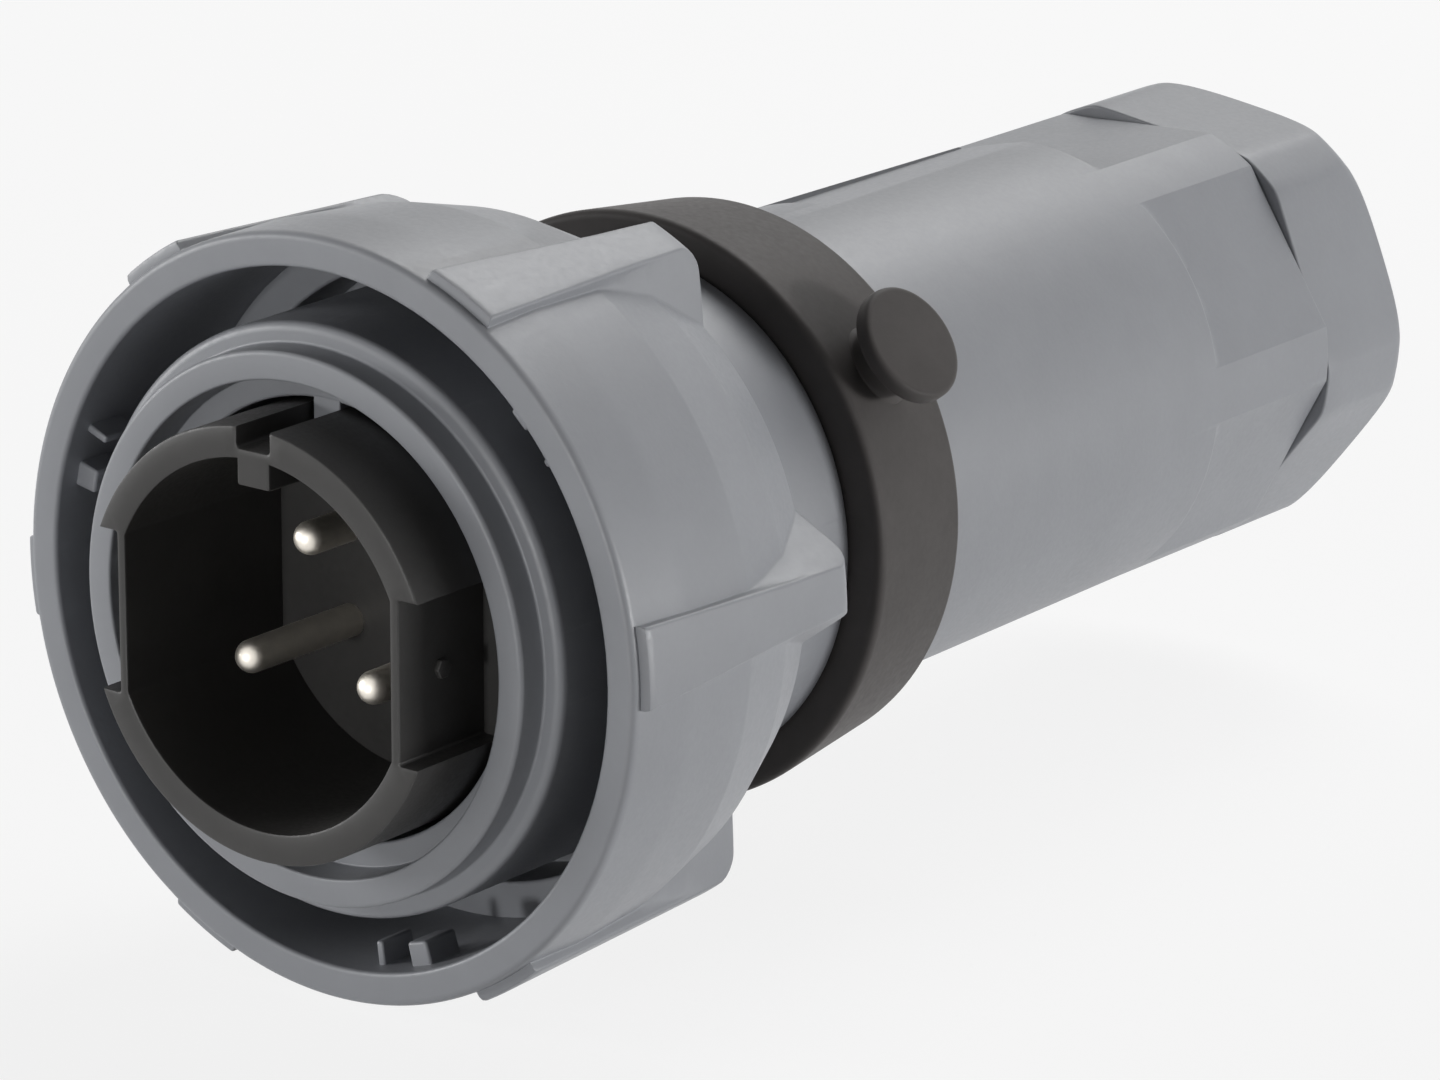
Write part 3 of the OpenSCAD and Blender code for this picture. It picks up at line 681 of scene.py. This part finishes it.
class ConnectorCouplingRing(bpy.types.Operator):
    """Makes the coupling ring from one sixth with a tapered finger rib, set round by the round pattern"""

    bl_idname = "connector.coupling_ring"
    bl_label = "Coupling ring"

    def execute(self, context):
        s = sizes(context)
        rim_y, ring_end = ends("coupling_ring")
        # Stations of the outside: rim, start of the ribs, straight part, waist and shoulder
        rim_end, rib_y, straight_end, waist_y, shoulder_y = 0.4, 0.45, 4.0, 9.0, 12.9
        waist, shoulder, tail = 18.0, 17.05, 15.4
        field = (
            [rim_end, straight_end, waist_y, shoulder_y, ring_end],
            [s.ring_radius, s.ring_radius, waist, shoulder, tail],
        )
        # Roundings: rear of the crests, edges of the crests, foot of the ribs and the ring's rear edge
        rounding, soft, foot, turn_in = 1.2, 0.2, 0.3, 0.12
        crest_end = ring_end - rounding
        lean = math.tan(math.radians(s.rib_lean))
        stations = [rim_end, rib_y - 0.02, rib_y, rib_y + 0.05, rib_y + soft, *np.arange(1.0, 15.1, 0.5)]
        stations += [waist_y - 0.1, waist_y + 0.1, shoulder_y - 0.1, shoulder_y]
        stations += [crest_end + d for d in (0.0, 0.3, 0.6, 0.85, 1.0)]
        stations += [ring_end - turn_in * d for d in (1.0, 0.5, 0.15, 0.0)]

        def crest(y):
            """Crest radius: rounded at the front step, falling, and rounded at the rear."""
            high = float(np.interp(y, [rib_y, crest_end], [s.rib_radius, s.rib_rear_radius]))
            past = min(max(0.0, y - crest_end), rounding)
            short = max(0.0, 1 - (y - rib_y) / soft)
            rear_fall = rounding - math.sqrt(rounding ** 2 - past ** 2)
            return high - rear_fall - soft * (1 - math.sqrt(1 - short ** 2))

        def section(base, high, y):
            """Half a rib as points (distance from its middle, radius), out to the ring's plain field."""
            margin = 1.0
            wedge = float(np.interp(y, [rib_y, crest_end], [s.rib_front, s.rib_rear]))
            meet = s.rib_rear_radius - (wedge - s.rib_rear) / lean
            # The knee between the upright and the leaning flank keeps away from the foot and the crest
            knee = min(max(meet, 0.7 * base + 0.3 * high), 0.3 * base + 0.7 * high)
            top, bend, root = (
                (max(wedge, s.rib_rear + (s.rib_rear_radius - r) * lean), r) for r in (high, knee, base)
            )
            corners = [(0.0, high, 0.0), (*top, soft), (*bend, 0.0), (*root, foot)]
            points = rounded(corners + [(root[0] + margin, base, 0.0)])
            return [(x * points[1][0], high) for x in (0.0, 0.35, 0.7)] + points[1:]

        def row(r, y, raised):
            """One row of points across the sixth, with the rib raised on it or level at a radius."""
            columns, low_rib, steady_y = 14, 0.4, 5.0
            base = float(np.interp(y, *field)) if raised else r
            if raised and y >= rib_y:
                half = section(base, crest(y), y)
            else:
                # Level rows take the places of a low rib's points, so that the columns run through
                places = section(s.ring_radius, s.ring_radius + low_rib, min(y, steady_y))
                half = [(x * (base / s.ring_radius), base) for x, _ in places]
            past = y - ring_end + turn_in
            inset = turn_in - math.sqrt(turn_in ** 2 - past ** 2) if raised and past > 0 else 0.0
            half = [(math.asin(x / radius), radius - inset) for x, radius in half]
            last = half[-1][0]
            end = math.pi / s.rib_count
            half += [(last + (end - last) * i / columns, base - inset) for i in range(1, columns + 1)]
            whole = [(-a, radius) for a, radius in half[:0:-1]] + half
            return [(radius * math.cos(a), y, radius * math.sin(a)) for a, radius in whole]

        rows = [row(r, y, False) for r, y in self.rim(s, rim_y, rim_end, waist_y)]
        rows += [row(0.0, y, True) for y in sorted(stations)]
        rows += [row(r, y, False) for r, y in self.inside(s, ring_end)]
        mesh = bmesh.new()
        skin(mesh, rows, wrap_columns=False)
        bmesh.ops.remove_doubles(mesh, verts=mesh.verts, dist=WELD)
        piece = as_object("coupling_ring_dressed", mesh)
        grey = grey_polyamide(context)
        repeat_round(piece, s.rib_count, s.rib_angle, grey)
        self.cut_stop_slot(piece)
        complete(piece, grey, "ring", "grey_ring", "coupling_ring")
        return {"FINISHED"}

    def rim(self, s, front, end, behind):
        """Points of the rim's front face and its rounded edges, as far as the ring's outside begins."""
        outline = rounded([
            (s.ring_bore, front, 0.25), (s.ring_radius, front, 0.4),
            (s.ring_radius, behind, 0.0), (s.ring_bore, behind, 0.0),
        ], 5)
        slack = 1e-6
        return [(r, y) for r, y in outline if y < end - slack and r > s.ring_bore - slack]

    def inside(self, s, ring_end):
        """Points of the rear face, the recess, the flange, the spring's room and the bore."""
        rear_edge, recess, flange, spring = 14.85, 13.9, 12.38, 15.0
        flange_y, flange_end, spring_y = 13.2, 14.7, 9.5
        points = rounded([
            (rear_edge, ring_end, 0.0), (recess, ring_end, 0.15), (recess, flange_end, 0.0),
            (flange, flange_end, 0.15), (flange, flange_y, 0.15), (spring, flange_y, 0.0),
            (spring, spring_y, 0.2), (s.ring_bore, spring_y, 0.0),
        ])
        return points + [(s.ring_bore, y) for y in (7.5, 5.5, 3.5, 1.5)]

    def cut_stop_slot(self, piece):
        """Widens the flange's bore where the body's stop lug travels."""
        flange_limit, slot_radius = 12.7, 13.15
        slot_start, slot_end = 234.0, 276.5
        mesh = bmesh.new()
        mesh.from_mesh(piece.data)
        for v in mesh.verts:
            r = math.hypot(v.co.x, v.co.z) / MM
            a = math.degrees(math.atan2(v.co.z, v.co.x)) % 360
            if r < flange_limit and slot_start < a < slot_end:
                v.co.x *= slot_radius / r
                v.co.z *= slot_radius / r
        bmesh.ops.recalc_face_normals(mesh, faces=mesh.faces)
        mesh.to_mesh(piece.data)
        mesh.free()


class ConnectorBayonetLugs(bpy.types.Operator):
    """Makes the bayonet lugs and their detent ribs in the ring's bore with the round pattern"""

    bl_idname = "connector.bayonet_lugs"
    bl_label = "Bayonet lugs"

    def execute(self, context):
        s = sizes(context)
        front, rear, sunk = 1.2, 3.4, 0.25
        lug_half, detent_start, detent_end = 2.15, -9.2, -7.8
        span = (s.ring_bore - s.lug_height, s.ring_bore + sunk, front, rear)
        mesh = bmesh.new()
        block(mesh, sector_corners(*span, -lug_half, lug_half), 0.16)
        block(mesh, sector_corners(*span, detent_start, detent_end, steps=2), 0.12)
        piece = closed_mesh("bayonet_lugs", mesh)
        grey = grey_polyamide(context)
        repeat_round(piece, s.lug_count, s.lug_angle, grey)
        complete(piece, grey, "ring", "grey_ring")
        return {"FINISHED"}


class ConnectorStrapRing(bpy.types.Operator):
    """Makes the strap ring and its stud"""

    bl_idname = "connector.strap_ring"
    bl_label = "Strap ring"

    def execute(self, context):
        s = sizes(context)
        front, rear = ends("strap_ring")
        bore = 11.9
        outline = [
            (bore, front, 0.2), (s.strap_radius, front, 0.45),
            (s.strap_rear_radius, rear, 0.4), (bore, rear, 0.2),
        ]
        mesh = bmesh.new()
        skin(mesh, lathe(rounded(outline, 6), all_round()))
        join(mesh, self.stud(s, (front + rear) / 2))
        piece = closed_mesh("strap_ring_dressed", mesh)
        complete(piece, strap_elastomer(context), "strap", "black_strap", "strap_ring")
        return {"FINISHED"}

    def stud(self, s, station):
        """The mushroom stud, turned about the axis and then laid in its own radial direction."""
        root, foot_y, stem_y, head_y, top = 12.2, 14.2, 14.6, 16.15, 17.0
        foot = s.stud_stem + 0.35
        outline = [
            (0.0, root, 0.0), (foot, root, 0.0), (foot, foot_y, 0.3), (s.stud_stem, stem_y, 0.3),
            (s.stud_stem, head_y, 0.15), (s.stud_head, head_y, 0.2), (s.stud_head, top, 0.35),
            (0.0, top, 0.0),
        ]
        stud = bmesh.new()
        skin(stud, lathe(rounded(outline, 6), all_round(5.0)))
        a = math.radians(s.stud_angle)
        out = Vector((math.cos(a), 0.0, math.sin(a)))
        along = Vector((0.0, 1.0, 0.0))
        place = Matrix((out.cross(along), out, along)).transposed().to_4x4()
        place.translation = along * station * MM
        bmesh.ops.transform(stud, matrix=place, verts=stud.verts)
        return stud


class ConnectorContactCarrier(bpy.types.Operator):
    """Makes the black contact carrier: shroud with pockets and key slot, well, shank and tail"""

    bl_idname = "connector.contact_carrier"
    bl_label = "Contact carrier"

    def execute(self, context):
        s = sizes(context)
        front, tail_end = ends("contact_carrier")
        pocket_end, floor, seat = 1.4, 6.3, 7.7
        outer, inner, edge = s.shroud_radius, s.shroud_bore, s.edge
        # The side pockets leave a thin wall beside the well's flats
        wall, pocket_half = s.well_flat + 0.5, 3.9
        # The key slot in the shroud, and the tab behind it that stands into the well
        slot_half, slot_floor, tab_low = 0.98, 9.3, 7.55

        def arc(radius, a0, a1):
            count = max(2, int(abs(a1 - a0) / ARC_STEP))
            return [polar(radius, a) for a in np.linspace(a0, a1, count + 1)]

        def bend(points, rounding):
            """An open run of points with its inner corners rounded."""
            last = len(points) - 1
            return rounded([(*p, 0.0 if i in (0, last) else rounding) for i, p in enumerate(points)], 3)

        def dip(half, rim, level, rounding):
            """A square dip from a rim to a level, from right to left."""
            return bend([(half, rim), (half, level), (-half, level), (-half, rim)], rounding)

        pocket = math.degrees(math.asin(pocket_half / outer))
        mouth = math.cos(math.radians(pocket)) * outer
        notch = [(x, -z) for z, x in dip(pocket_half, mouth, wall, 0.15)]
        run = np.concatenate([[0.0], np.cumsum([math.dist(a, b) for a, b in zip(notch, notch[1:])])])
        full = [polar(outer, a) for a in -pocket + 2 * pocket * run / run[-1]]
        key = math.degrees(math.asin(slot_half / outer))
        groove = dip(slot_half, math.cos(math.radians(key)) * outer, slot_floor, 0.2)

        def outside(side):
            """The shroud's outline with the given run of points at both sides."""
            loop = side + arc(outer, pocket, 90 - key)[1:-1] + groove
            loop += arc(outer, 90 + key, 180 - pocket)[1:-1] + [(-x, -z) for x, z in side]
            return np.array(loop + arc(outer, 180 + pocket, 360 - pocket)[1:-1])

        cut = math.degrees(math.acos(s.well_flat / inner))
        lean = math.degrees(math.asin(slot_half / inner))
        tab = dip(slot_half, math.cos(math.radians(lean)) * inner, tab_low, 0.15)
        well = arc(inner, cut, 90 - lean)[:-1] + tab + arc(inner, 90 + lean, 180 - cut)[1:]
        well = np.array(well + arc(inner, 180 + cut, 360 - cut))

        def moved(loop, distance):
            """A loop shifted sideways, to the left of its run where the distance is above 0."""
            ahead = np.roll(loop, -1, 0) - loop
            ahead /= np.linalg.norm(ahead, axis=1)[:, None]
            left = np.stack([-ahead[:, 1], ahead[:, 0]], 1)
            mitre = left + np.roll(left, 1, 0)
            mitre /= np.maximum(0.5 * (mitre ** 2).sum(1), 0.4)[:, None]
            return loop + distance * mitre

        def level(loop, y):
            return [(x, y, z) for x, z in loop]

        def eased(loop, side):
            """The levels of a loop over the rounding of the front edge."""
            part = 0.29 * edge  # height and setback at the rounding's middle
            return [
                level(moved(loop, side * edge), front), level(moved(loop, side * part), front + part),
                level(loop, front + edge),
            ]

        notched, plain = outside(notch), outside(full)
        steps = [level(notched, pocket_end), level(plain, pocket_end), level(plain, seat)]
        mesh = bmesh.new()
        skin(mesh, eased(notched, 1) + steps, wrap_rows=False)
        skin(mesh, eased(well, -1) + [level(well, floor)], wrap_rows=False)
        bmesh.ops.remove_doubles(mesh, verts=mesh.verts, dist=WELD)
        for station in (front, floor, seat):
            fill_level(mesh, station)
        self.add_tail(mesh, seat, tail_end)
        self.add_mark(mesh, wall)
        piece = closed_mesh("contact_carrier_dressed", mesh)
        complete(piece, black_polyamide(context), "body", "black_carrier", "contact_carrier")
        return {"FINISHED"}

    def add_tail(self, mesh, seat, tail_end):
        """The shank with its seal groove, and the threaded tail."""
        shank, groove, thread = 8.7, 7.5, 7.9
        groove_y, groove_end, shank_end = 8.9, 10.8, 12.0
        outline = [
            (0.0, seat, 0.0), (shank, seat, 0.1), (shank, groove_y, 0.05), (groove, groove_y, 0.05),
            (groove, groove_end, 0.05), (shank, groove_end, 0.05), (shank, shank_end, 0.1),
            (thread, shank_end, 0.1), (thread, tail_end, 0.3), (0.0, tail_end, 0.0),
        ]
        skin(mesh, lathe(rounded(outline), all_round(3.0)))

    def add_mark(self, mesh, wall):
        """The small six-sided mark on the wall of the right pocket."""
        station, radius, sunk, proud = -1.6, 0.5, 0.1, 0.25
        section = [polar(radius, a) for a in range(0, 360, HEX_SIDE)]
        rings = [[(x, station + y, z) for y, z in section] for x in (wall - sunk, wall + proud)]
        block(mesh, rings, 0.06)


class ConnectorPins(bpy.types.Operator):
    """Makes the pin contacts with their barrels, one shape set round by the round pattern"""

    bl_idname = "connector.pins"
    bl_label = "Pin contacts"

    def execute(self, context):
        s = sizes(context)
        r, tip, first = s.pin_radius, -1.5, 90.0
        barrel, barrel_y, barrel_end = 1.9, 7.7, ends("pin_contact_1")[1]
        wire_bore, bore_y = 1.0, 21.0
        dome = np.radians(np.linspace(0, 90, 13))
        outline = [(r * math.sin(a), tip + r - r * math.cos(a)) for a in dome]
        outline += rounded([
            (r, barrel_y, 0.0), (barrel, barrel_y, 0.15), (barrel, barrel_end, 0.2),
            (wire_bore, barrel_end, 0.1), (wire_bore, bore_y, 0.0), (0.0, bore_y, 0.0),
        ], 3)
        rows = lathe(outline, all_round(7.5))
        mesh = bmesh.new()
        skin(mesh, [[(x + s.pin_circle, y, z) for x, y, z in row] for row in rows], wrap_rows=False)
        piece = closed_mesh("pin_contacts", mesh)
        plate = silver_plate(context)
        repeat_round(piece, s.pin_count, first, plate)
        complete(piece, plate, "body", "pin_plating", "pin_contact_1", "pin_contact_2", "pin_contact_3")
        return {"FINISHED"}


class ConnectorGlandNut(bpy.types.Operator):
    """Makes the six-sided gland nut with its cable opening"""

    bl_idname = "connector.gland_nut"
    bl_label = "Gland nut"

    def execute(self, context):
        s = sizes(context)
        front, rear = ends("gland_nut")
        big, thread, face = s.nut_corner_radius, 9.85, 9.0
        flats_y, flats_end, wall_y = 68.0, 70.5, 72.1
        outline = [(thread, front, 0.2), (big, front, s.edge), (big, flats_y, 0.0), (big, flats_end, 0.0)]
        outline += [
            (big - s.nut_round * (1 - math.cos(a)), rear - s.nut_round * (1 - math.sin(a)), 0.0)
            for a in np.radians(np.linspace(0, 90, 16))
        ]
        outline += [
            (face, rear, 0.0), (s.cable_radius, rear, 0.35), (s.cable_radius, wall_y, 0.2),
            (thread, wall_y, 0.2),
        ]
        outside_radius, reach, depth = 10.3, 0.25, 0.06

        def form(r, y, angles):
            """Radius round the nut, lowered by the flats."""
            radius = np.full(len(angles), r)
            if r < outside_radius:
                return radius
            fall = max(0.0, big - r) if y < flats_y else 0.0
            flats = across_flats(OUTSIDE, angles, s.nut_half_width, s.nut_corner, fall)
            # Where the flats meet the round form, their edge is softened
            close = np.clip(1 - np.abs(flats - radius) / reach, 0.0, 1.0)
            return np.minimum(flats, radius) - depth * close ** 2

        corners = flat_edges(big, s.nut_half_width, s.nut_corner)
        mesh = bmesh.new()
        skin(mesh, lathe(rounded(outline), all_round(close=corners), form))
        piece = closed_mesh("gland_nut_dressed", mesh)
        complete(piece, grey_polyamide(context), "body", "grey_nut", "gland_nut")
        return {"FINISHED"}


class ConnectorInnerPieces(bpy.types.Operator):
    """Gives the small inner pieces, which keep their CAD meshes, their finishes"""

    bl_idname = "connector.inner_pieces"
    bl_label = "Inner pieces"

    def execute(self, context):
        dress = {
            spring_steel: (
                "ring_spring", "carrier_washer", "gland_washer",
                "terminal_screw_1", "terminal_screw_2", "terminal_screw_3",
            ),
            clip_acetal: ("ring_clip", "gland_cage"),
            nitrile_rubber: ("carrier_oring", "gland_seal"),
            grey_polyamide: ("carrier_nut",),
        }
        for make, names in dress.items():
            for name in names:
                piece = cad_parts[name]
                piece.data.materials.clear()
                piece.data.materials.append(make(context))
        return {"FINISHED"}


class ConnectorStage(bpy.types.Operator):
    """Makes the floor, the soft lights and the camera"""

    bl_idname = "connector.stage"
    bl_label = "Stage"

    def execute(self, context):
        scene = context.scene
        scene.view_settings.view_transform = "Standard"
        self.make_floor(context)
        self.make_world(scene)
        self.make_lights(scene)
        self.make_camera(scene)
        return {"FINISHED"}

    def make_floor(self, context):
        """The paper that the connector lies on, a hair below it."""
        half_width, gap = 1.5, 0.05 * MM
        mesh = bmesh.new()
        bmesh.ops.create_grid(mesh, x_segments=8, y_segments=8, size=half_width)
        bmesh.ops.translate(mesh, vec=Vector((0.0, 0.0, CAD_BOX[0].z - gap)), verts=mesh.verts)
        floor = closed_mesh("floor", mesh)
        floor.data.materials.append(studio_floor(context))

    def make_world(self, scene):
        """A plain white surround, which also stands behind the object in the picture."""
        world = bpy.data.worlds.new("studio")
        scene.world = world
        world.use_nodes = True
        tree = world.node_tree
        tree.nodes.clear()
        lit = add_node(tree, "ShaderNodeBackground", inputs={"Color": WHITE, "Strength": 0.02})
        white = add_node(tree, "ShaderNodeBackground", inputs={"Color": WHITE, "Strength": 1.0})
        both = add_node(tree, "ShaderNodeMixShader", inputs={
            0: seen_directly(tree), 1: lit.outputs["Background"], 2: white.outputs["Background"],
        })
        add_node(tree, "ShaderNodeOutputWorld", inputs={"Surface": both.outputs["Shader"]})

    def make_lights(self, scene):
        """Soft lamps that face the connector: place, width and height in metres, power in watts."""
        middle = Vector((0.0, 0.03, 0.0))
        for name, place, width, height, power in (
            ("front_light", (0.0, -0.9, 0.02), 0.08, 0.08, 2.1),
            ("left_light", (-0.6, -0.35, 0.1), 0.2, 0.2, 1.8),
            ("rear_light", (-0.12, 0.38, 0.42), 0.3, 0.3, 1.0),
            ("rear_right_light", (0.05, 0.4, 0.45), 0.3, 0.3, 0.45),
            ("side_light", (0.49, 0.22, 0.01), 0.2, 0.05, 1.35),
        ):
            lamp = bpy.data.lights.new(name, "AREA")
            lamp.shape = "ELLIPSE"
            lamp.size, lamp.size_y, lamp.energy = width, height, power
            light = bpy.data.objects.new(name, lamp)
            light.location = place
            light.rotation_euler = (middle - Vector(place)).to_track_quat("-Z", "Y").to_euler()
            scene.collection.objects.link(light)

    def make_camera(self, scene):
        """A long lens at the photograph's viewing angle, placed in millimetres."""
        place = Vector((198.66, -226.12, 96.87))
        ahead = Vector((-0.5858, 0.7548, -0.2951)).normalized()
        above = Vector((-0.1835, 0.2311, 0.9555))
        lens = bpy.data.cameras.new("camera")
        lens.lens, lens.sensor_width = 171.39, 36.0
        lens.clip_start, lens.clip_end = 0.02, 20.0
        camera = bpy.data.objects.new("camera", lens)
        aside = ahead.cross(above).normalized()
        camera.matrix_world = Matrix((aside, aside.cross(ahead), -ahead)).transposed().to_4x4()
        camera.location = place * MM
        scene.collection.objects.link(camera)
        scene.camera = camera


OPERATORS = (
    ConnectorBodyShell, ConnectorCouplingRing, ConnectorBayonetLugs, ConnectorStrapRing,
    ConnectorContactCarrier, ConnectorPins, ConnectorGlandNut, ConnectorInnerPieces, ConnectorStage,
)


class ConnectorPanel(bpy.types.Panel):
    """Lists the connector's pieces, sizes and colours"""

    bl_idname = "VIEW3D_PT_connector"
    bl_label = "Circular connector"
    bl_space_type = "VIEW_3D"
    bl_region_type = "UI"
    bl_category = "Connector"

    def draw(self, context):
        for operator in OPERATORS:
            self.layout.operator(operator.bl_idname)
        for group in (context.scene.connector_sizes, context.scene.connector_colours):
            column = self.layout.column()
            for name in group.bl_rna.properties.keys():
                if name not in ("name", "rna_type"):
                    column.prop(group, name)


CLASSES = (ConnectorColours, ConnectorSizes, *OPERATORS, ConnectorPanel)


def register():
    for kind in CLASSES:
        bpy.utils.register_class(kind)
    bpy.types.Scene.connector_sizes = PointerProperty(type=ConnectorSizes)
    bpy.types.Scene.connector_colours = PointerProperty(type=ConnectorColours)


def unregister():
    del bpy.types.Scene.connector_sizes
    del bpy.types.Scene.connector_colours
    for kind in reversed(CLASSES):
        bpy.utils.unregister_class(kind)


def main():
    register()
    bpy.ops.connector.body_shell()
    bpy.ops.connector.coupling_ring()
    bpy.ops.connector.bayonet_lugs()
    bpy.ops.connector.strap_ring()
    bpy.ops.connector.contact_carrier()
    bpy.ops.connector.pins()
    bpy.ops.connector.gland_nut()
    bpy.ops.connector.inner_pieces()
    bpy.ops.connector.stage()


if __name__ == "__main__":
    main()
